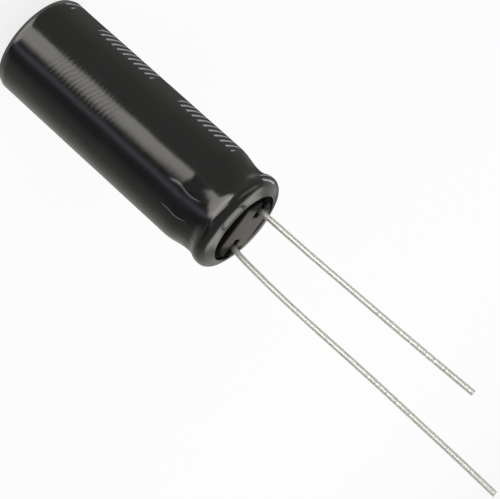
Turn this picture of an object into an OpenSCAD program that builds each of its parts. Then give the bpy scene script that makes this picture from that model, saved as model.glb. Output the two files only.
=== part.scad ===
// Radial-lead aluminium electrolytic capacitor, standing on the flat head of its can.
// Z runs from the head (z = 0) to the leads. X runs through both leads, the long one on +X.
// Lengths are in millimetres and angles in degrees.

/* [Can and sleeve] */
// Outside diameter over the shrink sleeve
body_d = 13; // [12.7:0.05:13.2]
// Wall of the shrink sleeve
sleeve_t = 0.15; // [0.1:0.01:0.2]
// Wall of the drawn can
can_t = 0.3; // [0.25:0.01:0.35]
// Outside radius of the corner round the head
corner_r = 0.55; // [0.5:0.01:0.8]
// Width of the lip that the sleeve folds over the head
head_lip = 1.55; // [1:0.05:2]
// Gap between the lip and the end of each arm of the scored vent
vent_gap = 1.3; // [0.8:0.1:2]
// Width of a vent score line
vent_w = 0.3; // [0.2:0.05:0.5]
// Depth of a vent score line
vent_depth = 0.12; // [0.05:0.01:0.18]

/* [Neck and rim] */
// Height where the straight body ends and the wall starts to fall in
neck_z = 27.4; // [27:0.1:27.8]
// Height of the deepest line of the bead
bead_z = 31.1; // [30.8:0.1:31.3]
// Depth of the bead below the straight body
bead_depth = 0.47; // [0.35:0.01:0.6]
// Height of the widest line of the rim
rim_z = 32.85; // [32.7:0.05:33.1]
// How far the rim there lies in from the straight body
rim_in = 0.08; // [0.04:0.01:0.14]
// Radius of the shoulder over the rim
shoulder_r = 1.05; // [1:0.05:1.3]
// Slope of the ring between the shoulder and the mouth
mouth_slope = 20; // [16:1:24]
// Width of the rim, from its outside to the mouth in the sleeve
rim_w = 1.76; // [1.7:0.01:1.85]
// Depth of the sleeve's turned-in edge below the crest of the mouth
hem_depth = 0.35; // [0.25:0.01:0.4]

/* [Rubber seal] */
// Underside of the seal inside the can
seal_z = 28.2; // [28:0.1:28.6]
// Floor of the recess inside the mouth
recess_z = 33.1; // [32.9:0.1:33.3]
// Width of the seal's shoulder between the mouth and the recess
ledge_w = 0.25; // [0.15:0.05:0.35]
// Top of the raised pad, where a circuit board rests
pad_z = 34.4; // [34.3:0.05:34.6]
// Gap between the recess's wall and either long side of the raised pad, at its middle
pad_side_gap = 1.4; // [1.2:0.05:1.6]
// Gap between the recess's wall and the rounded ends of the pad
pad_end_gap = 0.25; // [0.15:0.05:0.4]
// Distance from the middle of the pair of leads to the inner end of each slot
slot_x = 1.6; // [1.5:0.05:1.7]
// Floor of the two slots that the leads stand in
slot_z = 33.5; // [33.4:0.05:33.6]
// Width of each slot
slot_w = 1.4; // [1.35:0.05:1.5]
// Width of the bevel round the top of the pad
pad_bevel = 0.12; // [0.05:0.01:0.2]

/* [Leads] */
// Spacing of the two leads at the seal
pitch = 5.3; // [5.1:0.05:5.4]
// Place of the middle of the pair along X, which a moulded seal holds a little off the axis
pair_x = -0.12; // [-0.2:0.02:0.2]
// Diameter of the tinned wire
wire_d = 0.7; // [0.65:0.01:0.8]
// Diameter of the aluminium stub below each wire
stub_d = 1.3; // [1.1:0.05:1.3]
// Height of the butt weld between stub and wire
weld_z = 33.8; // [33.75:0.05:33.9]
// Lean of the long lead where it leaves the seal
long_lean = 8.5; // [7:0.5:9.5]
// Lean of its free end
long_tip = 1.2; // [1:0.1:1.6]
// Lean of the short lead where it leaves the seal
short_lean = 0.9; // [0.8:0.1:1.3]
// Lean of its free end
short_tip = 2; // [1.8:0.1:2.3]
// Length of the long wire from its weld
long_len = 41; // [38:0.1:42]
// Length of the short wire from its weld
short_len = 32.3; // [29:0.1:33]
// Length of the straight free end of the long lead
long_end = 5.2; // [4.5:0.1:6]
// Length of the straight free end of the short lead
short_end = 10.4; // [9:0.1:12]

/* [Winding] */
// Gap between the wound element and the can's wall
roll_gap = 0.5; // [0.3:0.05:0.8]
// Top of the wound element
roll_z = 27.2; // [26:0.1:27.4]
// Diameter of the hole left by the winding mandrel
mandrel_d = 1.6; // [1.2:0.1:2]
// Thickness of the closing tape
tape_t = 0.08; // [0.05:0.01:0.12]
// Lower and upper edge of the tape, measured in from the ends of the element
tape_in = 1; // [0.5:0.1:2]
// Width of a connecting tab
tab_w = 2; // [1.6:0.1:2.4]
// Thickness of a connecting tab
tab_t = 0.3; // [0.2:0.05:0.4]
// Lowest point of a tab inside the winding
tab_z = 12; // [8:1:16]

/* [Hidden] */
$fn = 96;
// Margin by which a cutting shape passes the shape that it cuts
past = 1;
body_r = body_d / 2;
bead_r = body_r - bead_depth;
rim_r = body_r - rim_in;
mouth_r = rim_r - rim_w;
recess_r = mouth_r - ledge_w;
pad_w = 2 * (recess_r - pad_side_gap);
pad_end_r = recess_r - pad_end_gap;
head_open_r = body_r - head_lip;
vent_arm = head_open_r - vent_gap;
wire_r = wire_d / 2;
stub_r = stub_d / 2;
can_in = sleeve_t + can_t;
roll_r = body_r - can_in - roll_gap;
// Fall from the body to the bead, and rise from the bead to the rim, each as two equal arcs
fall_h = bead_z - neck_z;
rise_h = rim_z - bead_z;
fall_r = (fall_h * fall_h + bead_depth * bead_depth) / (4 * bead_depth);
rise_d = rim_r - bead_r;
rise_r = (rise_h * rise_h + rise_d * rise_d) / (4 * rise_d);
fall_turn = asin(fall_h / 2 / fall_r);
rise_turn = asin(rise_h / 2 / rise_r);
// Turn of the shoulder, from the rim to the sloping ring round the mouth
turn = 90 - mouth_slope;
shoulder_x = rim_r - shoulder_r;
crest_z = ring_z(0, mouth_r);
// Cut edge of the can, just outside the sleeve's turned-in hem
can_edge_r = mouth_r + sleeve_t;
// The seal's shoulder meets the underside of the can's curled edge there
seat_z = ring_z(can_in, can_edge_r);
// Upright length of wire straight above each weld, clear of the first ball
weld_run = 1.05 * wire_r;
// Shares that the straight lengths take of what is left of each wire, and their leans
long_part = [0.0426, 0.0284, 0.1023, 0.0852, 0.0994, 0.1847, 0.1278, 0.3296];
short_part = [0.0913, 0.2741, 0.6346];
long_runs = concat(weld_run, long_part * (long_len - weld_run - long_end), long_end);
short_runs = concat(weld_run, short_part * (short_len - weld_run - short_end), short_end);
long_leans = [0, long_lean, 5, 2.55, 1.45, 0.25, -0.6, -0.15, 0.55, long_tip];
short_leans = [0, short_lean, 0.4, 1.35, short_tip];
// Radius of the ball that rounds each change of lean, a hair over the wire's own
knuckle_r = wire_r * 1.006;

// Height of the sloping ring at radius x, for the surface that lies o inside the sleeve's outside
function ring_z(o, x) = rim_z + (shoulder_r - o) * sin(turn)
    + (shoulder_x + (shoulder_r - o) * cos(turn) - x) * tan(mouth_slope);

// Rectangle between two corners
module box_2d(x0, y0, x1, y1) {
    translate([x0, y0]) square([x1 - x0, y1 - y0]);
}

// Points on an arc about (x, y), from angle a0 to a1, in n steps
function arc(x, y, r, a0, a1, n) = [for (i = [0:n])
    [x + r * cos(a0 + (a1 - a0) * i / n), y + r * sin(a0 + (a1 - a0) * i / n)]];

// The surface that lies o inside the sleeve's outside, from the head up to radius x in the mouth
function skin(o, x) = concat(
    arc(body_r - corner_r, corner_r, corner_r - o, -90, 0, 7),
    arc(body_r - fall_r, neck_z, fall_r - o, 0, fall_turn, 4),
    arc(bead_r + fall_r, bead_z, fall_r + o, 180 + fall_turn, 180, 4),
    arc(bead_r + rise_r, bead_z, rise_r + o, 180, 180 - rise_turn, 4),
    arc(rim_r - rise_r, rim_z, rise_r - o, -rise_turn, 0, 4),
    arc(shoulder_x, rim_z, shoulder_r - o, 0, turn, 7),
    [[x, ring_z(o, x)]]);

// Half section of a wall between depths o and p, open inside radius head and above radius mouth
module wall_2d(o, p, head, mouth) {
    polygon(concat([[head, o]], skin(o, mouth), reverse(skin(p, mouth)), [[head, p]]));
}

// The same list from its end to its start
function reverse(list) = [for (i = [len(list) - 1:-1:0]) list[i]];

// Tube of the shrink sleeve, folded in over both ends, with its hem turned down in the mouth
module sleeve() {
    color([0.05, 0.05, 0.055])
    rotate_extrude() {
        wall_2d(0, sleeve_t, head_open_r, can_edge_r);
        polygon([[mouth_r, crest_z - hem_depth], [can_edge_r, crest_z - hem_depth],
            [can_edge_r, ring_z(0, can_edge_r)], [mouth_r, crest_z]]);
    }
}

// Drawn aluminium cup with a scored vent, a bead, and an edge curled in over the seal
module can() {
    color([0.78, 0.79, 0.8])
    difference() {
        rotate_extrude()
        wall_2d(sleeve_t, can_in, 0, can_edge_r);
        for (a = [0, 90])
            rotate([0, 0, a])
            translate([-vent_arm, -vent_w / 2, sleeve_t - past])
            cube([2 * vent_arm, vent_w, past + vent_depth]);
    }
}

// Outline of the raised pad, drawn in by i
module pad(i, z0, z1) {
    intersection() {
        translate([0, 0, z0]) cylinder(r = pad_end_r - i, h = z1 - z0);
        translate([-pad_end_r, i - pad_w / 2, z0])
        cube([2 * pad_end_r, pad_w - 2 * i, z1 - z0]);
    }
}

// Rubber seal gripped by the bead, with a raised pad and a slot round each lead
module seal() {
    color([0.28, 0.26, 0.25])
    difference() {
        union() {
            rotate_extrude()
            difference() {
                polygon(concat([[0, can_in]], skin(can_in, can_edge_r), [[0, seat_z]]));
                box_2d(0, 0, body_r, seal_z);
                box_2d(0, recess_z, recess_r, seat_z + past);
            }
            difference() {
                union() {
                    pad(0, recess_z - past, pad_z - pad_bevel);
                    pad(pad_bevel, recess_z - past, pad_z);
                }
                for (side = [0, 180])
                    translate([pair_x, 0, 0])
                    rotate([0, 0, side])
                    translate([slot_x, -slot_w / 2, slot_z])
                    cube([pad_end_r, slot_w, pad_z - slot_z + past]);
            }
        }
        for (side = [-1, 1])
            translate([pair_x + side * pitch / 2, 0, seal_z - past])
            cylinder(r = stub_r, h = slot_z - seal_z + 1.5 * past);
    }
}

// Wire of straight lengths, from its i-th on, leaning towards +X
module wire(runs, leans, i = 0) {
    rotate([0, leans[i], 0]) cylinder(r = wire_r, h = runs[i]);
    if (i < len(runs) - 1)
        translate([runs[i] * sin(leans[i]), 0, runs[i] * cos(leans[i])]) {
            sphere(r = knuckle_r);
            wire(runs, leans, i + 1);
        }
}

// Long tinned wire of the anode
module anode_wire() {
    color([0.8, 0.8, 0.78])
    translate([pair_x + pitch / 2, 0, weld_z])
    wire(long_runs, long_leans);
}

// Short tinned wire of the cathode
module cathode_wire() {
    color([0.8, 0.8, 0.78])
    translate([pair_x, 0, 0])
    rotate([0, 0, 180])
    translate([pitch / 2, 0, weld_z])
    wire(short_runs, short_leans);
}

// Aluminium stub in the seal, coned up to the wire and flattened into the winding
module tab() {
    translate([pitch / 2, 0, 0]) {
        translate([0, 0, roll_z + tab_t]) cylinder(r = stub_r, h = slot_z - roll_z - tab_t);
        translate([0, 0, slot_z]) cylinder(r1 = stub_r, r2 = wire_r, h = weld_z - slot_z);
        translate([-tab_t / 2, -tab_w / 2, tab_z]) cube([tab_t, tab_w, roll_z + 2 * tab_t - tab_z]);
    }
}

// Tab of the anode
module anode_tab() {
    color([0.75, 0.76, 0.77]) translate([pair_x, 0, 0]) tab();
}

// Tab of the cathode
module cathode_tab() {
    color([0.75, 0.76, 0.77]) translate([pair_x, 0, 0]) rotate([0, 0, 180]) tab();
}

// Foils and paper wound tight into one roll, resting on the floor of the can
module winding() {
    color([0.62, 0.58, 0.5])
    difference() {
        translate([0, 0, can_in]) cylinder(r = roll_r, h = roll_z - can_in);
        translate([0, 0, -past]) cylinder(r = mandrel_d / 2, h = roll_z + 2 * past);
        for (side = [-1, 1])
            translate([pair_x + side * pitch / 2 - tab_t / 2, -tab_w / 2, tab_z])
            cube([tab_t, tab_w, roll_z - tab_z + past]);
    }
}

// Tape that closes the roll
module tape() {
    color([0.85, 0.75, 0.45])
    difference() {
        translate([0, 0, can_in + tape_in])
        cylinder(r = roll_r + tape_t, h = roll_z - can_in - 2 * tape_in);
        translate([0, 0, -past]) cylinder(r = roll_r, h = roll_z + 2 * past);
    }
}

sleeve();
can();
seal();
anode_wire();
cathode_wire();
anode_tab();
cathode_tab();
winding();
tape();
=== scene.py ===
"""Radial electrolytic capacitor: sleeved can, rubber seal and two tinned leads, in a studio."""
import logging
from dataclasses import dataclass
from enum import Enum

import bmesh
import bpy
import numpy as np
from mathutils import Matrix, Vector


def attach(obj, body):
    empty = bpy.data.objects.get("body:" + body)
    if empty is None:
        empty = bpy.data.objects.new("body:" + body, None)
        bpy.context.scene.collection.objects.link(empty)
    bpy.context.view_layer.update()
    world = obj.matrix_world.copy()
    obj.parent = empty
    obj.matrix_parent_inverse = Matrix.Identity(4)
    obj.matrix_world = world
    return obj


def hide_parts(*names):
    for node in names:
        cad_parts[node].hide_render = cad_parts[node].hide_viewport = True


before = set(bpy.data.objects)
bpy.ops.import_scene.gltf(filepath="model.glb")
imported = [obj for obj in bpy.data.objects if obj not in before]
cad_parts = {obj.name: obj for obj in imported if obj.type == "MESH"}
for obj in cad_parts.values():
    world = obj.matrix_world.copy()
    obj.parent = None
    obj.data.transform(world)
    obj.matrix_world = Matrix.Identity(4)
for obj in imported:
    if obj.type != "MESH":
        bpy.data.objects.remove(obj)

LOG = logging.getLogger("capacitor")
MM = 0.001
# Turn about the can's axis, in degrees, of the side of the body that faces the camera
FRONT = 252.8
# Middle of the pair of leads along X, and each lead's distance from it, in millimetres
PAIR_X = -0.12
LEAD_X = 2.65
Colour = tuple[float, float, float]
Socket = bpy.types.NodeSocket


class Side(Enum):
    """Side of the can's axis that a lead stands on."""

    LONG = 1.0
    SHORT = -1.0


@dataclass(frozen=True)
class Crease:
    """Raised line along the film.

    It has a turn from the front in degrees and, in millimetres, the heights of its ends and how
    proud it stands.
    """

    turn: float
    low: float
    high: float
    proud: float


CREASES = (Crease(11.7, 25.5, 30.6, 0.028), Crease(39.6, 26.3, 30.3, 0.034))
# Sideways sway of each crease in millimetres, and its pace in radians per millimetre of height
SWAY, SWAY_PACE = 0.12, 1.9


def smooth(x: np.ndarray, low: float, high: float) -> np.ndarray:
    """Return 0 below low, 1 above high, and t * t * (3 - 2 * t) between them."""
    t = np.clip((x - low) / (high - low), 0.0, 1.0)
    return t * t * (3.0 - 2.0 * t)


def turns(n: int) -> np.ndarray:
    """Return n equal turns, in degrees."""
    return np.arange(n) * 360.0 / n


def from_front(a: np.ndarray, turn: float = 0.0) -> np.ndarray:
    """Return how far a lies from the front, or from a turn off it, in degrees up to 180."""
    return (a - FRONT - turn + 180) % 360 - 180


def arc(x: float, z: float, r: float, a0: float, a1: float, n: int = 24) -> np.ndarray:
    """Return n + 1 points (x + r cos a, z + r sin a), with a from a0 to a1 degrees."""
    a = np.radians(np.linspace(a0, a1, n + 1))
    return np.stack([x + r * np.cos(a), z + r * np.sin(a)], 1)


def respace(line: np.ndarray, n: int, pace: np.ndarray | float = 1.0,
            fineness: int = 40) -> np.ndarray:
    """Space a line's points anew.

    Args:
        line: (k, 2) points.
        n: number of points to return.
        pace: how much closer than usual the points lie, at each of the k points.
        fineness: points per point of the line on which the length is summed.

    Returns:
        (n, 2) points at equal steps of the running sum of length times pace.
    """
    fine = np.linspace(0, len(line) - 1, fineness * len(line))
    dense = np.stack([np.interp(fine, np.arange(len(line)), line[:, k]) for k in (0, 1)], 1)
    weight = np.interp(fine, np.arange(len(line)), np.broadcast_to(pace, (len(line),)))
    run = np.append(0, np.cumsum(np.hypot(*np.diff(dense, axis=0).T) * weight[1:]))
    want = np.linspace(0, run[-1], n)
    return np.stack([np.interp(want, run, dense[:, k]) for k in (0, 1)], 1)


def surface(name: str, grid: np.ndarray, loop: bool = False,
            girth: float = 1.0) -> bpy.types.Object:
    """Make an object of a grid whose columns close round an axis.

    Corner (i, j) joins (i + 1, j), (i + 1, j + 1) and (i, j + 1). The UV map is laid out in
    millimetres: u = girth * j / columns, v = height of the corner.

    Args:
        name: name of the object.
        grid: (rows, columns, 3) points in millimetres.
        loop: whether the last row joins the first.
        girth: length in millimetres of once round.

    Returns:
        The object, with its faces outwards and its poles merged.
    """
    rows, cols = grid.shape[:2]
    i, j = np.meshgrid(np.arange(rows if loop else rows - 1), np.arange(cols), indexing="ij")
    i2, j2 = (i + 1) % rows, (j + 1) % cols
    corners = [i * cols + j, i * cols + j2, i2 * cols + j2, i2 * cols + j]
    faces = np.stack(corners, -1).reshape(-1, 4)
    mesh = bpy.data.meshes.new(name)
    mesh.from_pydata((grid.reshape(-1, 3) * MM).tolist(), [], faces.tolist())
    u = np.stack([j, j + 1, j + 1, j], -1).reshape(-1) * girth / cols
    v = grid[..., 2].reshape(-1)[faces.reshape(-1)]
    mesh.uv_layers.new(name="UVMap").data.foreach_set("uv", np.stack([u, v], 1).ravel())
    work = bmesh.new()
    work.from_mesh(mesh)
    bmesh.ops.remove_doubles(work, verts=work.verts, dist=2e-7)
    bmesh.ops.recalc_face_normals(work, faces=work.faces)
    work.to_mesh(mesh)
    work.free()
    mesh.polygons.foreach_set("use_smooth", np.ones(len(mesh.polygons), bool))
    made = bpy.data.objects.new(name, mesh)
    bpy.context.scene.collection.objects.link(made)
    return made


def enlist(piece: bpy.types.Object, slot: str, *nodes: str) -> None:
    """Put a piece on the one body, in place of CAD nodes.

    Args:
        piece: the piece.
        slot: the record's material slot meant for it; not used.
        nodes: the nodes that it replaces.
    """
    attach(piece, "root")
    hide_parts(*nodes)
    LOG.info("%s: %d faces, in place of %s", piece.name, len(piece.data.polygons), ", ".join(nodes))


class Graph:
    """Places and joins the nodes of one shader tree."""

    def __init__(self, tree: bpy.types.NodeTree) -> None:
        """Start on an emptied tree."""
        self.tree = tree
        tree.nodes.clear()

    def node(self, kind: str, inputs: dict | None = None, **settings: object) -> bpy.types.Node:
        """Add a node.

        Args:
            kind: Blender's name for it, without "ShaderNode".
            inputs: sockets or constants by the name or number of the input.
            settings: values of the node's own attributes.

        Returns:
            The node.
        """
        made = self.tree.nodes.new(kind if kind.startswith("Node") else "ShaderNode" + kind)
        for key, value in settings.items():
            setattr(made, key, value)
        for key, value in (inputs or {}).items():
            if isinstance(value, Socket):
                self.tree.links.new(value, made.inputs[key])
            else:
                made.inputs[key].default_value = value
        return made

    def math(self, operation: str, *values: object) -> Socket:
        """Return the result of a Math node on sockets or numbers."""
        return self.node("Math", dict(enumerate(values)), operation=operation).outputs[0]

    def times(self, a: object, b: object) -> Socket:
        """Return a * b."""
        return self.math("MULTIPLY", a, b)

    def plus(self, a: object, scale: object, base: object) -> Socket:
        """Return a * scale + base."""
        return self.math("MULTIPLY_ADD", a, scale, base)

    def away(self, a: object, b: object) -> Socket:
        """Return how far a and b are apart."""
        return self.math("ABSOLUTE", self.math("SUBTRACT", a, b))

    def vector(self, operation: str, *values: object) -> bpy.types.Node:
        """Return a VectorMath node on sockets or vectors."""
        return self.node("VectorMath", dict(enumerate(values)), operation=operation)

    def band(self, value: object, low: float, high: float) -> Socket:
        """Return a smooth step from 0 at low to 1 at high."""
        inputs = {0: value, 1: low, 2: high, 3: 0.0, 4: 1.0}
        return self.node("MapRange", inputs, interpolation_type="SMOOTHSTEP").outputs[0]

    def window(self, value: object, low: float, high: float, soft: float) -> Socket:
        """Return 1 from low to high and 0 outside them, with edges soft wide inside them."""
        return self.times(self.band(value, low, low + soft), self.band(value, high, high - soft))

    def mix(self, factor: object, a: object, b: object) -> Socket:
        """Return the colour that lies factor of the way from a to b."""
        a, b = ((*c, 1.0) if isinstance(c, tuple) else c for c in (a, b))
        return self.node("Mix", {0: factor, 6: a, 7: b}, data_type="RGBA").outputs[2]

    def seen(self) -> Socket:
        """Return 1 on camera, glossy and transmission rays, and 0 on the rest."""
        path = self.node("LightPath").outputs
        two = self.math("ADD", path["Is Camera Ray"], path["Is Glossy Ray"])
        return self.math("MINIMUM", self.math("ADD", two, path["Is Transmission Ray"]), 1.0)


def surface_texture() -> bpy.types.NodeTree:
    """Build the group that every finish of this part uses for its grain.

    Its grain is noise on stretched coordinates, contrasted about its middle. Its patches are the
    same at an eighth of the scale, and its height is the grain plus a third of the patches.

    Returns:
        The group, with inputs Vector, Scale, Stretch, Contrast, and outputs Grain, Patches, Height.
    """
    tree = bpy.data.node_groups.new("surface_texture", "ShaderNodeTree")
    made = Graph(tree)
    for name, kind in (("Vector", "Vector"), ("Scale", "Float"), ("Stretch", "Vector"),
                       ("Contrast", "Float")):
        tree.interface.new_socket(name, in_out="INPUT", socket_type="NodeSocket" + kind)
    for name in ("Grain", "Patches", "Height"):
        tree.interface.new_socket(name, in_out="OUTPUT", socket_type="NodeSocketFloat")
    given = made.node("NodeGroupInput").outputs
    place = made.vector("MULTIPLY", given["Vector"], given["Stretch"]).outputs[0]
    out = made.node("NodeGroupOutput")
    masks = []
    for share, detail in ((1.0, 3.0), (0.125, 2.0)):
        inputs = {"Vector": place, "Scale": made.times(given["Scale"], share), "Detail": detail}
        noise = made.node("TexNoise", inputs).outputs[0]
        off = made.times(made.math("SUBTRACT", noise, 0.5), given["Contrast"])
        above = made.math("MAXIMUM", made.math("ADD", off, 0.5), 0.0)
        masks.append(made.math("MINIMUM", above, 1.0))
    height = made.plus(masks[1], 0.33, masks[0])
    for name, socket in zip(("Grain", "Patches", "Height"), (*masks, height)):
        tree.links.new(socket, out.inputs[name])
    return tree


@dataclass(frozen=True)
class Finish:
    """Surface of one material: two tones, gloss, and a grain with a relief in metres."""

    name: str
    tone: Colour
    worn: Colour
    rough: tuple[float, float] = (0.4, 0.5)
    metallic: float = 0.0
    specular: float = 0.5
    grain: float = 2000.0
    stretch: Colour = (1.0, 1.0, 1.0)
    contrast: float = 2.0
    relief: float = 1e-5
    strength: float = 0.3

    def shade(self, g: Graph, parts: dict[str, Socket]) -> None:
        """Change the colour, rough and height sockets in parts; a plain finish leaves them."""

    def material(self, shared: bpy.types.NodeTree) -> bpy.types.Material:
        """Build the material.

        Args:
            shared: the surface texture group.

        Returns:
            The material: tones mixed by patches, roughness by grain, and the height as bump.
        """
        made = bpy.data.materials.new(self.name)
        made.use_nodes = True
        g = Graph(made.node_tree)
        texture = g.node("Group", node_tree=shared)
        g.tree.links.new(g.node("TexCoord").outputs["Object"], texture.inputs["Vector"])
        for key, value in (("Scale", self.grain), ("Stretch", self.stretch),
                           ("Contrast", self.contrast)):
            texture.inputs[key].default_value = value
        low, high = self.rough
        parts = {"colour": g.mix(texture.outputs["Patches"], self.tone, self.worn),
                 "rough": g.plus(texture.outputs["Grain"], high - low, low),
                 "height": texture.outputs["Height"]}
        self.shade(g, parts)
        relief = {"Strength": self.strength, "Distance": self.relief, "Height": parts["height"]}
        inputs = {"Base Color": parts["colour"], "Roughness": parts["rough"],
                  "Metallic": self.metallic, "Specular IOR Level": self.specular,
                  "Normal": g.node("Bump", relief).outputs[0]}
        g.node("OutputMaterial", {"Surface": g.node("BsdfPrincipled", inputs).outputs[0]})
        return made


@dataclass(frozen=True)
class PrintedFilm(Finish):
    """Shrink film with transverse ripples, and rows of slanted strokes printed down one side.

    Sizes are in millimetres on its UV map, where u runs round the can and v up it. The rows' turn
    is in degrees, and a pace is in radians for each millimetre.
    """

    ink: Colour = (0.52, 0.52, 0.54)
    # Painted highlight along the crease lines
    painted_crease_highlight: Colour = (0.13, 0.135, 0.145)
    # Painted light: a paler tone on the far side of the film's edge round the mouth
    painted_far_light_tone: Colour = (0.34, 0.34, 0.32)
    girth: float = 40.84
    row_at: float = 184.8
    row_h: float = 2.5
    first: float = 6.1
    row_l: float = 9.0
    repeat: float = 13.08
    stroke: float = 0.36
    pitch: float = 0.9
    slant: float = 0.25
    blur: float = 0.08
    head_fold: tuple[float, float] = (0.35, 0.5)
    rim_fold: tuple[float, float] = (33.7, 33.6)
    head_corner: tuple[float, float] = (0.68, 0.45)
    ripple_pace: float = 10.5
    ripple_slant: float = 0.45
    ripple_wobble: float = 7.0
    ripple_bump: float = 0.8
    ink_cover: float = 0.9
    ink_rough: float = 0.25
    corner_rough: float = 0.42
    ripple_rough: float = 0.15

    def along(self, turn: float) -> float:
        """Return the u of a turn about the can's axis, in degrees."""
        return self.girth * turn / 360.0

    def print_rows(self, g: Graph, u: Socket, v: Socket) -> Socket:
        """Return 1 on ink, where four tests hold.

        The tests: near the row's line round the can, inside a group along it, on a stroke, and
        between the folds at the head and at the rim.
        """
        off = g.math("SUBTRACT", u, self.along(self.row_at))
        half, soft = self.row_h / 2, self.blur / 2
        across = g.band(g.math("ABSOLUTE", off), half + soft, half - soft)
        run = g.math("FLOORED_MODULO", g.math("SUBTRACT", v, self.first), self.repeat)
        lean = g.math("FLOORED_MODULO", g.plus(off, self.slant, run), self.pitch)
        group = g.window(run, 0.0, self.row_l, self.blur)
        mark = g.window(lean, 0.0, self.stroke, self.blur)
        on_wall = g.times(g.band(v, *self.head_fold), g.band(v, *self.rim_fold))
        return g.times(g.times(g.times(across, group), mark), on_wall)

    def ripple(self, g: Graph, uv: Socket, u: Socket, v: Socket) -> Socket:
        """Return a wobbling sine across the front of the can, faded out at its four sides."""
        slanted = g.plus(u, self.ripple_slant, v)
        wobble = g.node("TexNoise", {"Vector": uv, "Scale": 0.6}).outputs[0]
        phase = g.plus(wobble, self.ripple_wobble, g.times(slanted, self.ripple_pace))
        wave = g.math("SINE", phase)
        fade = g.times(g.band(v, 4.5, 6.5), g.band(v, 18.5, 14.0))
        return g.times(wave, g.times(fade, g.band(g.away(u, self.along(FRONT + 2.0)), 2.0, 1.0)))

    def crease(self, g: Graph, u: Socket, v: Socket, line: Crease) -> Socket:
        """Return 1 on a crease's swaying line."""
        swayed = g.plus(g.math("SINE", g.times(v, SWAY_PACE)), SWAY, u)
        near = g.band(g.away(swayed, self.along(FRONT + line.turn)), 0.1, 0.03)
        return g.times(near, g.window(v, line.low, line.high, 1.0))

    # Painted light on the far side of the film's edge round the mouth
    def cut(self, g: Graph) -> Socket:
        """Return 1 on the film's cut edge round the mouth, on the side away from the front, where
        light is painted.
        """
        place = g.node("TexCoord").outputs["Object"]
        axis = (float(np.cos(np.radians(FRONT))), float(np.sin(np.radians(FRONT))), 0.0)
        far = g.vector("DOT_PRODUCT", place, axis).outputs["Value"]
        flat = g.vector("MULTIPLY", place, (1.0, 1.0, 0.0)).outputs[0]
        radius = g.vector("LENGTH", flat).outputs["Value"]
        return g.times(g.band(far, -2.8 * MM, -4.2 * MM), g.band(radius, 4.84 * MM, 4.78 * MM))

    def shade(self, g: Graph, parts: dict[str, Socket]) -> None:
        """Lay on the ink, the ripples, a painted highlight along the creases and painted light on
        the far side of the film's cut edge.

        The film is duller on ink, on the ripples' crests and where it turns over the head.
        """
        uv = g.node("UVMap").outputs[0]
        u, v = g.node("SeparateXYZ", {0: uv}).outputs[:2]
        ink, ripple = self.print_rows(g, u, v), self.ripple(g, uv, u, v)
        parts["colour"] = g.mix(g.times(ink, self.ink_cover), parts["colour"], self.ink)
        crest, corner = g.band(ripple, 0.1, 0.9), g.band(v, *self.head_corner)
        duller = ((ink, self.ink_rough), (corner, self.corner_rough), (crest, self.ripple_rough))
        for mask, more in duller:
            parts["rough"] = g.plus(mask, more, parts["rough"])
        parts["height"] = g.plus(ripple, self.ripple_bump, parts["height"])
        for line in CREASES:
            # Painted highlight along each crease line
            parts["colour"] = g.mix(self.crease(g, u, v, line), parts["colour"], self.painted_crease_highlight)
        # Painted light on the far side of the film's cut edge
        parts["colour"] = g.mix(self.cut(g), parts["colour"], self.painted_far_light_tone)


@dataclass(frozen=True)
class Layered(Finish):
    """Finish with painted shade: one tone below a height and another past the leads; distances in
    millimetres.
    """

    # Painted shade: the tone below the fade heights stands in for the shade there
    under: Colour = (0.01, 0.01, 0.01)
    fade: tuple[float, float] = (0.0, 1.0)
    ends: tuple[float, float] | None = None
    # Painted shade on the pad past the leads
    painted_end_shade: Colour = (0.016, 0.016, 0.015)
    end_rough: float = 0.3

    def shade(self, g: Graph, parts: dict[str, Socket]) -> None:
        """Mix in the painted shade by the point's distance from the leads' middle, and by its
        height.
        """
        at = g.node("SeparateXYZ", {0: g.node("TexCoord").outputs["Object"]}).outputs
        # Painted shade on the pad past the leads, which is also rougher there
        if self.ends:
            past = g.band(g.away(at[0], PAIR_X * MM), self.ends[0] * MM, self.ends[1] * MM)
            parts["colour"] = g.mix(past, parts["colour"], self.painted_end_shade)
            parts["rough"] = g.plus(past, self.end_rough, parts["rough"])
        # Painted shade: darker below the fade heights
        above = g.band(at[2], self.fade[0] * MM, self.fade[1] * MM)
        parts["colour"] = g.mix(above, self.under, parts["colour"])


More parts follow.
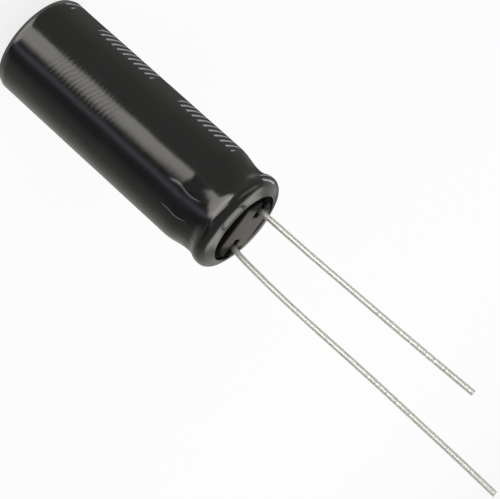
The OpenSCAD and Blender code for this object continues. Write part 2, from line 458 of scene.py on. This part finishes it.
@dataclass
class Can:
    """Sleeved can, with the same sizes as its solid, and its film's waves; in millimetres."""

    body_r: float = 6.5
    sleeve_t: float = 0.15
    can_t: float = 0.3
    corner_r: float = 0.55
    lip_r: float = 4.95
    lip_bevel: float = 0.06
    neck_z: float = 27.4
    bead_z: float = 31.1
    bead_r: float = 6.03
    rim_z: float = 32.85
    rim_r: float = 6.42
    shoulder_r: float = 1.05
    slope: float = 20.0
    mouth_r: float = 4.66
    hem: float = 0.35
    crest_round: float = 0.15
    slow_wave: float = 0.006
    quick_wave: float = 0.003
    pucker: float = 0.012
    crease_w: float = 0.11
    # Share of the fall into the bead, and of the rise out of it, at which the tight film turns
    fall_turn: float = 0.24
    rise_turn: float = 0.9
    outer_rows: int = 164
    inner_rows: int = 24

    def ring_z(self, o: float, x: float) -> float:
        """Return the height of the sloping ring at radius x, o inside the sleeve's outside."""
        turn, r = np.radians(90 - self.slope), self.shoulder_r - o
        inwards = self.rim_r - self.shoulder_r + r * np.cos(turn) - x
        return self.rim_z + r * np.sin(turn) + inwards * np.tan(np.radians(self.slope))

    def skin(self, o: float, x: float) -> np.ndarray:
        """Draw a half section as tangent arcs: corner, fall, rise, shoulder and sloping ring.

        Args:
            o: how far the section lies inside the sleeve's outside.
            x: radius at which it ends, on the ring.

        Returns:
            (n, 2) points from the head to the mouth. A fall or rise of length l and depth d is two
            arcs of radius (l * l + d * d) / 4 / d.
        """
        fall, rise = self.bead_z - self.neck_z, self.rim_z - self.bead_z
        d0, d1 = self.body_r - self.bead_r, self.rim_r - self.bead_r
        r0, r1 = (fall ** 2 + d0 ** 2) / 4 / d0, (rise ** 2 + d1 ** 2) / 4 / d1
        a0, a1 = np.degrees(np.arcsin(fall / 2 / r0)), np.degrees(np.arcsin(rise / 2 / r1))
        inner = self.rim_r - self.shoulder_r
        return np.concatenate([
            arc(self.body_r - self.corner_r, self.corner_r, self.corner_r - o, -90, 0),
            arc(self.body_r - r0, self.neck_z, r0 - o, 0, a0),
            arc(self.bead_r + r0, self.bead_z, r0 + o, 180 + a0, 180),
            arc(self.bead_r + r1, self.bead_z, r1 + o, 180, 180 - a1),
            arc(self.rim_r - r1, self.rim_z, r1 - o, -a1, 0),
            arc(inner, self.rim_z, self.shoulder_r - o, 0, 90 - self.slope),
            [[x, self.ring_z(o, x)]]])

    def tight(self, z: np.ndarray) -> np.ndarray:
        """Return what the tight film adds to the radius over the bead's front.

        A fall or rise is two parabolas that meet where t, its share of the height, is turn:
        t * t / turn, then 1 - (1 - t)^2 / (1 - turn). The true one turns half-way.

        Args:
            z: heights.

        Returns:
            The tight form less the true one, at each height.
        """
        added = 0.0
        fall = (self.neck_z, self.bead_z, self.body_r - self.bead_r, self.fall_turn)
        rise = (self.bead_z, self.rim_z, self.bead_r - self.rim_r, self.rise_turn)
        for low, high, drop, turn in (fall, rise):
            t = np.clip((z - low) / (high - low), 0, 1)
            even = np.where(t < 0.5, 2 * t * t, 1 - 2 * (1 - t) ** 2)
            early = np.where(t < turn, t * t / turn, 1 - (1 - t) ** 2 / (1 - turn))
            added = added + drop * (even - early)
        return added

    def film(self, a: np.ndarray, z: np.ndarray, r: np.ndarray) -> np.ndarray:
        """Work out how far the shrunk film stands off its true surface.

        The sum of slow waves round and along the can, puckers that run down into the bead, the
        tight film over the bead's front, which has no puckers, and the creases, each a bell
        exp(-(s / w)^2) across its line.

        Args:
            a: degrees round the axis.
            z: heights.
            r: radii.

        Returns:
            The distances, outwards.
        """
        wall = smooth(r, 5.6, 5.9) * smooth(z, 0.6, 2.0)
        b = np.radians(a)
        slow = self.slow_wave * np.sin(3 * b + 0.45 * z) * np.sin(0.31 * z + 2 * b)
        slow = slow + self.quick_wave * np.sin(7 * b - 0.8 * z + 1)
        fold = np.sin(23 * b + 1.3 * np.sin(5 * b)) * np.sin(9 * b + 2)
        pucker = self.pucker * fold * smooth(z, 28.4, 30.2) * smooth(-z, -32.6, -31.2)
        turned = from_front(a)
        front = smooth(turned, -50, -32) * (1 - smooth(turned, 24, 42))
        total = (slow + pucker * (1 - front)) * wall + self.tight(z) * front
        for line in CREASES:
            s = from_front(a, line.turn) * np.pi / 180 * self.body_r + SWAY * np.sin(SWAY_PACE * z)
            ends = smooth(z, line.low, line.low + 1.2) * smooth(-z, -line.high, 1.2 - line.high)
            total = total + line.proud * np.exp(-(s / self.crease_w) ** 2) * ends
        return total

    def build(self, cols: int = 512) -> bpy.types.Object:
        """Turn the sleeve's closed half section round the axis, and lay the film's waves on it.

        Args:
            cols: points round the axis.

        Returns:
            The sleeve. Its rows lie closer above the height where the bead starts.
        """
        crest, edge_r = self.ring_z(0, self.mouth_r), self.mouth_r + self.sleeve_t
        lip = [[self.lip_r, self.lip_bevel], [self.lip_r + self.lip_bevel, 0]]
        turn_r = self.mouth_r + self.crest_round
        outer = np.concatenate([lip, self.skin(0, turn_r),
                                arc(turn_r, crest - self.crest_round, self.crest_round, 80, 180, 8),
                                [[self.mouth_r, crest - self.hem]]])
        inner = np.concatenate([[[edge_r, crest - self.hem]],
                                self.skin(self.sleeve_t, edge_r)[::-1],
                                [[self.lip_r, self.sleeve_t]]])
        pace = np.where(outer[:, 1] > 27, 3.0, 0.7)
        line = np.concatenate([respace(outer, self.outer_rows, pace),
                               respace(inner, self.inner_rows)])
        a = turns(cols)
        on_film = np.where(np.arange(len(line)) < self.outer_rows, 1.0, 0.0)[:, None]
        r = line[:, :1] + on_film * self.film(a[None, :], line[:, 1:], line[:, :1])
        t = np.radians(a)[None, :]
        grid = np.stack([r * np.cos(t), r * np.sin(t), np.broadcast_to(line[:, 1:], r.shape)], -1)
        piece = surface("shrink_sleeve", grid, loop=True, girth=2 * np.pi * self.body_r)
        enlist(piece, "sleeve_film", "sleeve")
        return piece


@dataclass
class Seal:
    """Moulded rubber seal: a raised pad with two slots, in a recess; in millimetres."""

    can: Can
    seal_z: float = 28.2
    recess_z: float = 33.1
    recess_r: float = 4.41
    pad_half: float = 3.01
    pad_end_r: float = 4.16
    pad_z: float = 34.4
    slot_x: float = 1.6
    slot_z: float = 33.5
    slot_half: float = 0.7
    stub_r: float = 0.65
    well_gap: float = 0.05
    well_floor: float = 0.3
    soft: float = 0.2
    crown: float = 0.03
    cove: float = 0.1
    edge_gap: float = 0.02
    edge_round: float = 0.06
    top_rows: int = 110
    side_rows: int = 60

    def top(self, x: np.ndarray, y: np.ndarray) -> np.ndarray:
        """Work out the height of the moulding.

        The recess's floor, plus the crowned pad where a rounded box test holds, less the two slots,
        plus a cove at the wall, less the wells of the stubs. Each edge is a smooth step.

        Args:
            x: places along the pair of leads.
            y: places across it.

        Returns:
            The heights over (x, y).
        """
        r = np.hypot(x, y)
        inside = np.minimum(self.pad_end_r - r, self.pad_half - np.abs(y))
        pad = smooth(inside, 0.0, self.soft)
        off = np.abs(x - PAIR_X)
        slot = smooth(np.minimum(off - self.slot_x, self.slot_half - np.abs(y)), -0.06, 0.08)
        crown = self.crown * (1 - (y / self.pad_half) ** 2) - self.crown
        high = self.pad_z + crown - (self.pad_z - self.slot_z) * slot
        z = self.recess_z + (high - self.recess_z) * pad
        z = z + self.cove * smooth(r, self.recess_r - 0.22, self.recess_r - self.edge_gap)
        well = smooth(self.stub_r + self.well_gap - np.hypot(off - LEAD_X, y), 0.0, 0.04)
        return z - (z - self.seal_z - self.well_floor) * well

    def build(self, cols: int = 384) -> bpy.types.Object:
        """Lay the top over rings of growing radius, then carry the side and the underside round.

        Args:
            cols: points round the axis.

        Returns:
            The seal, whose side fills the inside of the can.
        """
        rings = np.linspace(0, self.recess_r - self.edge_gap, self.top_rows)
        edge_r = self.can.mouth_r + self.can.sleeve_t
        gap = self.can.sleeve_t + self.can.can_t
        seat = self.can.ring_z(gap, edge_r)
        hull = self.can.skin(gap, edge_r)[::-1]
        hull = hull[hull[:, 1] > self.seal_z]
        edge = self.edge_round
        side = np.concatenate([arc(self.recess_r + edge, seat - edge, edge, 180, 90, 5), hull,
                               [[hull[-1, 0], self.seal_z], [0, self.seal_z]]])
        side = respace(side, self.side_rows)
        t = np.radians(turns(cols))[None, :]
        r = np.concatenate([rings, side[:, 0]])[:, None]
        x, y = r * np.cos(t), r * np.sin(t)
        z = np.concatenate([self.top(x[:self.top_rows], y[:self.top_rows]),
                            np.broadcast_to(side[:, 1:], (self.side_rows, cols))])
        piece = surface("rubber_seal", np.stack([x, y, z], -1))
        enlist(piece, "seal_rubber", "seal")
        return piece


@dataclass
class Lead:
    """Tinned wire, butt-welded on its stub and cut off square by a cutter; in millimetres.

    It is a chain of runs, each with its lean from the upright in degrees: the weld's, shares of
    the middle, and the end's. Each mark is the height and the depth of a dent from a clamp.
    """

    side: Side
    node: str
    length: float
    end: float
    shares: tuple[float, ...]
    leans: tuple[float, ...]
    marks: tuple[tuple[float, float], ...]
    weld_z: float = 33.8
    wire_r: float = 0.35
    step: float = 0.06
    blend: int = 20
    mark_w: float = 0.14
    cut_w: float = 0.05
    cut_shear: float = 0.1

    def runs(self) -> np.ndarray:
        """Return the lengths of the runs."""
        weld = 1.05 * self.wire_r
        middle = np.array(self.shares) * (self.length - weld - self.end)
        return np.array([weld, *middle, self.end])

    def lean_at(self, s: np.ndarray) -> np.ndarray:
        """Return the lean in radians at lengths s, averaged under a bell over the nearby steps."""
        run = np.searchsorted(np.cumsum(self.runs()), s).clip(0, len(self.leans) - 1)
        lean = np.radians(np.array(self.leans)[run])
        bell = np.exp(-(np.arange(-self.blend, self.blend + 1) / 9.0) ** 2)
        return np.convolve(np.pad(lean, self.blend, mode="edge"), bell / bell.sum(), mode="valid")

    def radius(self, s: np.ndarray) -> np.ndarray:
        """Work out the wire's radius along its length.

        The plain radius, plus two bells where the weld has swollen, less the rounding of the cut
        end, plus a faint unevenness, less a bell exp(-(s / w)^2) at each mark.

        Args:
            s: lengths from the weld.

        Returns:
            The radii.
        """
        weld = 0.05 * np.exp(-((s - 0.22) / 0.18) ** 2) + 0.02 * np.exp(-((s - 0.75) / 0.25) ** 2)
        r = self.wire_r - 0.03 * np.exp(-(s[-1] - s) / self.cut_w) + weld
        r = r + 0.0016 * np.sin(2.3 * s) * np.sin(0.9 * s + 1)
        for at, depth in self.marks:
            r = r - 2 * depth * np.exp(-((self.weld_z + s - at) / self.mark_w) ** 2)
        return r

    def build(self, cols: int = 40) -> bpy.types.Object:
        """Carry a round section along the running sum of steps (sin lean, cos lean).

        Args:
            cols: points round the wire.

        Returns:
            The lead, closed at both ends, its cut end sheared a little by the cutter.
        """
        s = np.arange(0, self.runs().sum(), self.step)
        lean = self.lean_at(s)
        x = LEAD_X + np.append(0, np.cumsum(np.sin(lean[:-1]) * self.step))
        z = self.weld_z + np.append(0, np.cumsum(np.cos(lean[:-1]) * self.step))
        k = np.concatenate([[0], np.arange(len(s)), [len(s) - 1]]).astype(int)
        size = np.concatenate([[0.0], self.radius(s), [0.0]])[:, None]
        b = np.radians(turns(cols))
        out = size * (1 + 0.004 * np.sin(2 * b[None, :] + s[k][:, None] * 0.4))
        across, along = out * np.cos(b), lean[k][:, None]
        shear = self.cut_shear * across * np.exp(-(s[-1] - s[k])[:, None] / self.cut_w)
        px = x[k][:, None] + across * np.cos(along)
        pz = z[k][:, None] - across * np.sin(along) + shear
        sign = self.side.value
        grid = np.stack([PAIR_X + sign * px, sign * out * np.sin(b), pz], -1)
        piece = surface(self.node.replace("wire", "lead"), grid, girth=2 * np.pi * self.wire_r)
        piece.data.set_sharp_from_angle(angle=np.radians(50))
        enlist(piece, "tinned_wire", self.node)
        return piece


@dataclass
class Studio:
    """Pale floor, two soft lamps, the dome that only gloss sees, and the camera.

    The camera's place is in metres, and its three axes are unit vectors.
    """

    place: Colour = (-0.06218677, -0.20534461, 0.10190712)
    right: Colour = (-0.57820717, 0.40556071, 0.70795267)
    up: Colour = (-0.7653156, 0.0311484, -0.64290109)
    back: Colour = (-0.28278701, -0.91353724, 0.2923717)
    lens: float = 144.138
    floor_half: float = 3000.0
    floor_z: float = -0.02
    floor_glow: float = 0.8
    ambient: float = 0.16
    dome_r: float = 2500.0
    dome_z: float = 30.0
    grey_tint: Colour = (1.02, 1.02, 0.94)
    streak_tint: Colour = (0.85, 0.95, 1.15)
    table_tint: Colour = (1.0, 0.96, 0.88)
    table_power: float = 4.0

    def camera(self) -> None:
        """Stand the camera where the photograph was taken from."""
        data = bpy.data.cameras.new("camera")
        data.lens, data.sensor_width, data.clip_start = self.lens, 36.0, 0.01
        made = bpy.data.objects.new("camera", data)
        turn = Matrix((self.right, self.up, self.back)).transposed()
        made.matrix_world = Matrix.Translation(self.place) @ turn.to_4x4()
        bpy.context.scene.collection.objects.link(made)
        bpy.context.scene.camera = made

    def floor(self) -> None:
        """Lay a white floor that keeps the part's shadow. Gloss sees the dome in its place."""
        half, z = self.floor_half * MM, self.floor_z * MM
        corners = [(-half, -half, z), (half, -half, z), (half, half, z), (-half, half, z)]
        mesh = bpy.data.meshes.new("floor")
        mesh.from_pydata(corners, [], [(0, 1, 2, 3)])
        made = bpy.data.objects.new("floor", mesh)
        bpy.context.scene.collection.objects.link(made)
        made.visible_glossy = False
        material = bpy.data.materials.new("floor_white")
        material.use_nodes = True
        g = Graph(material.node_tree)
        matt = g.node("BsdfDiffuse", {"Color": (0.85, 0.85, 0.85, 1)}).outputs[0]
        glow = g.node("Emission", {"Color": (1, 1, 1, 1), "Strength": 1.0}).outputs[0]
        both = g.node("MixShader", {0: g.times(g.seen(), self.floor_glow), 1: matt, 2: glow})
        g.node("OutputMaterial", {"Surface": both.outputs[0]})
        material.cycles.emission_sampling = "NONE"
        mesh.materials.append(material)

    def world(self) -> None:
        """Make the world white to the camera, and a soft grey light to matt surfaces."""
        made = bpy.data.worlds.new("studio")
        made.use_nodes = True
        g = Graph(made.node_tree)
        strength = g.plus(g.seen(), 1.0 - self.ambient, self.ambient)
        white = g.node("Background", {"Color": (1, 1, 1, 1), "Strength": strength})
        g.node("OutputWorld", {"Surface": white.outputs[0]})
        bpy.context.scene.world = made

    def lamp(self, name: str, at: Colour, size: float, power: float) -> None:
        """Hang one square soft light, aimed at the middle of the can and hidden from gloss.

        Args:
            name: name of the lamp.
            at: its place, in metres.
            size: its side, in metres.
            power: its power, in watts.
        """
        data = bpy.data.lights.new(name, "AREA")
        data.size, data.energy = size, power
        made = bpy.data.objects.new(name, data)
        made.location = at
        made.visible_glossy = False
        aim = Vector((0, 0, self.dome_z * MM)) - Vector(at)
        made.rotation_euler = aim.to_track_quat("-Z", "Y").to_euler()
        bpy.context.scene.collection.objects.link(made)

    def walls(self, turn: np.ndarray, rise: np.ndarray) -> np.ndarray:
        """Return the grey of the studio's sides, as gloss_light takes its arguments.

        The left brightens past the table's edge and darkens again behind, the right brightens in
        two steps and darkens behind. Each is brighter low down, close to the front, and behind
        near the horizon.
        """
        left = 0.08 + 0.34 * (1 - smooth(-turn, 95, 172)) * smooth(-turn, 8, 14)
        left = left + smooth(-rise, 28, 42) * 0.6 * smooth(-turn, 90, 130)
        right = 0.13 + 0.22 * smooth(turn, 60, 88) + 0.22 * smooth(turn, 92, 125)
        right = right - 0.27 * smooth(turn, 145, 178)
        right = right + smooth(-rise, 22, 36) * 0.32 * smooth(turn, 60, 75)
        side = np.where(turn < 0, left, right) + 0.15 * smooth(-np.abs(turn), -22, -12)
        return side + 0.12 * smooth(rise, -18, -14) * smooth(np.abs(turn), 120, 150)

    def table(self, turn: np.ndarray, rise: np.ndarray) -> np.ndarray:
        """Return the light of the bright table in front, as gloss_light takes its arguments.

        It lies between a start and a stop turn. They spread downwards and close to a point towards
        the horizon, and the light fades straight below.
        """
        narrow = smooth(rise, -14, -3.5)
        start = -17.5 - 40 * smooth(-rise, 28, 66) + 10 * narrow
        stop = 2 + 10.5 * smooth(-rise, 17.8, 20.2) + 5.5 * smooth(-rise, 20, 25)
        stop = stop + 20 * smooth(-rise, 26, 50) - 8 * narrow
        light = smooth(turn, start, start + 7) * (1 - smooth(turn, stop - 8, stop + 9))
        light = light * smooth(-rise, 3, 5) * (1 - 0.85 * smooth(-rise, 64, 80))
        return light * (1 + 0.05 * smooth(-rise, 30, 46) + 0.5 * smooth(-rise, 46, 60))

    def ceiling(self, turn: np.ndarray, rise: np.ndarray) -> np.ndarray:
        """Return the light from above, as gloss_light takes its arguments.

        It is brighter behind, brightest high up there, with one low panel on the left.
        """
        back = smooth(-np.cos(np.radians(rise)) * np.cos(np.radians(turn)), 0.1, 0.6)
        sky = 0.36 + 0.4 * back
        sky = sky + 2.8 * back * smooth(rise, 34, 50) * (1 - smooth(rise, 70, 88))
        panel = smooth(turn, -105, -85) * (1 - smooth(turn, -50, -35))
        return sky + 1.2 * panel * smooth(rise, 14, 18) * (1 - smooth(rise, 34, 42))

    def gloss_light(self, turn: np.ndarray, rise: np.ndarray) -> np.ndarray:
        """Work out how bright the studio is to gloss.

        Grey walls with a faint streak, a bright table low in front, and a ceiling.

        Args:
            turn: degrees round the can's axis from the camera's side, growing to the lower left.
            rise: degrees above the horizon.

        Returns:
            (..., 3) light.
        """
        streak = 0.78 * np.exp(-((turn - 37.5) / 6.5) ** 2)
        high = smooth(rise, 1, 14)
        grey = self.walls(turn, rise) * (1 - high) + self.ceiling(turn, rise) * high
        lights = ((grey, self.grey_tint), (streak * (1 - high), self.streak_tint),
                  (self.table(turn, rise) * self.table_power, self.table_tint))
        return sum(light[..., None] * np.array(tint) for light, tint in lights)

    def dome(self) -> None:
        """Hang a dome that only gloss sees, lit by gloss_light at each of its corners."""
        middle = np.array([0, 0, self.dome_z])
        rise = np.radians(np.linspace(-90, 90, 181))[:, None]
        t = np.radians(np.arange(360.0) + FRONT)[None, :]
        level, height = np.cos(rise), np.sin(rise) + 0 * t
        ball = np.stack([level * np.cos(t), level * np.sin(t), height], -1)
        made = surface("reflection_dome", ball * self.dome_r + middle)
        at = np.zeros(len(made.data.vertices) * 3)
        made.data.vertices.foreach_get("co", at)
        x, y, z = (at.reshape(-1, 3) / MM - middle).T
        above = np.degrees(np.arcsin(np.clip(z / self.dome_r, -1, 1)))
        light = self.gloss_light(from_front(np.degrees(np.arctan2(y, x))), above)
        layer = made.data.color_attributes.new("light", "FLOAT_COLOR", "POINT")
        layer.data.foreach_set("color", np.append(light, np.ones((len(light), 1)), 1).ravel())
        material = bpy.data.materials.new("dome_light")
        material.use_nodes = True
        g = Graph(material.node_tree)
        lit = g.node("Attribute", attribute_name="light").outputs["Color"]
        glow = g.node("Emission", {"Color": lit})
        g.node("OutputMaterial", {"Surface": glow.outputs[0]})
        material.cycles.emission_sampling = "NONE"
        made.data.materials.append(material)
        for ray in ("camera", "diffuse", "transmission", "shadow"):
            setattr(made, "visible_" + ray, False)

    def build(self) -> None:
        """Set up the whole studio."""
        bpy.context.scene.view_settings.view_transform = "Standard"
        self.camera()
        self.world()
        self.floor()
        self.dome()
        self.lamp("top_light", (0.12, 0.3, 0.7), 0.6, 5.4)
        self.lamp("front_light", (-0.2, -0.62, 0.28), 0.5, 2.0)


FILM = PrintedFilm("sleeve_film", (0.006, 0.006, 0.0065), (0.009, 0.009, 0.0095), (0.12, 0.17),
                   grain=1500.0, relief=2e-5, strength=0.1)
# Painted shade: near black in the recess and on its walls below the pad's top, and darker on the
# pad past the leads
RUBBER = Layered("seal_rubber", (0.066, 0.0595, 0.055), (0.085, 0.0755, 0.071), (0.6, 0.72),
                 specular=0.2, grain=9000.0, relief=1.5e-5, strength=0.5,
                 under=(0.006, 0.006, 0.006), fade=(34.16, 34.33), ends=(2.3, 2.95))
# Painted shade: the leads darken towards their roots, where they leave the recess
TIN = Layered("tinned_wire", (0.88, 0.885, 0.85), (0.78, 0.785, 0.75), (0.42, 0.48), metallic=0.8,
              grain=1200.0, stretch=(1.0, 1.0, 0.08), relief=1e-6, strength=0.05,
              under=(0.12, 0.13, 0.12), fade=(34.2, 35.6))
CAN = Finish("can_aluminium", (0.78, 0.79, 0.8), (0.7, 0.71, 0.72), (0.28, 0.4), metallic=1.0,
             grain=4000.0, relief=4e-6)
TAB = Finish("tab_aluminium", (0.5, 0.51, 0.52), (0.38, 0.38, 0.38), (0.35, 0.55), metallic=1.0,
             grain=5000.0, strength=0.4)
ROLL = Finish("foil_and_paper", (0.55, 0.5, 0.42), (0.45, 0.4, 0.32), (0.6, 0.8),
              grain=3000.0, stretch=(1.0, 1.0, 0.05), relief=2e-5, strength=0.5)
TAPE = Finish("closing_tape", (0.8, 0.7, 0.4), (0.75, 0.63, 0.33), (0.2, 0.3), grain=800.0)
# CAD nodes that keep their own mesh, with the finish of each
INNER = {"can": CAN, "anode_tab": TAB, "cathode_tab": TAB, "winding": ROLL, "tape": TAPE}

LEADS = (
    Lead(Side.LONG, "anode_wire", length=41.0, end=5.2,
         shares=(0.0426, 0.0284, 0.1023, 0.0852, 0.0994, 0.1847, 0.1278, 0.3296),
         leans=(0, 8.5, 5, 2.55, 1.45, 0.25, -0.6, -0.15, 0.55, 1.2),
         marks=((55.9, 0.008), (57.1, 0.012), (57.8, 0.01), (58.8, 0.018), (60.2, 0.02),
                (62.2, 0.014))),
    Lead(Side.SHORT, "cathode_wire", length=32.3, end=10.4,
         shares=(0.0913, 0.2741, 0.6346), leans=(0, 0.9, 0.4, 1.35, 2),
         marks=((52.5, 0.014), (54.5, 0.01), (55.6, 0.014), (57.1, 0.014), (58.3, 0.008),
                (59.4, 0.012), (60.5, 0.018), (62.2, 0.014))))


def main() -> None:
    """Build the studio, then each sub-assembly, and dress them."""
    logging.basicConfig(level=logging.INFO, format="%(name)s: %(message)s")
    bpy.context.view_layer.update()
    shared = surface_texture()
    Studio().build()
    can = Can()
    can.build().data.materials.append(FILM.material(shared))
    Seal(can).build().data.materials.append(RUBBER.material(shared))
    tin = TIN.material(shared)
    for lead in LEADS:
        lead.build().data.materials.append(tin)
    made = {finish: finish.material(shared) for finish in dict.fromkeys(INNER.values())}
    for node, finish in INNER.items():
        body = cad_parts[node].data
        body.materials.clear()
        body.materials.append(made[finish])
        LOG.info("%s: dressed in %s", node, finish.name)


if __name__ == "__main__":
    main()
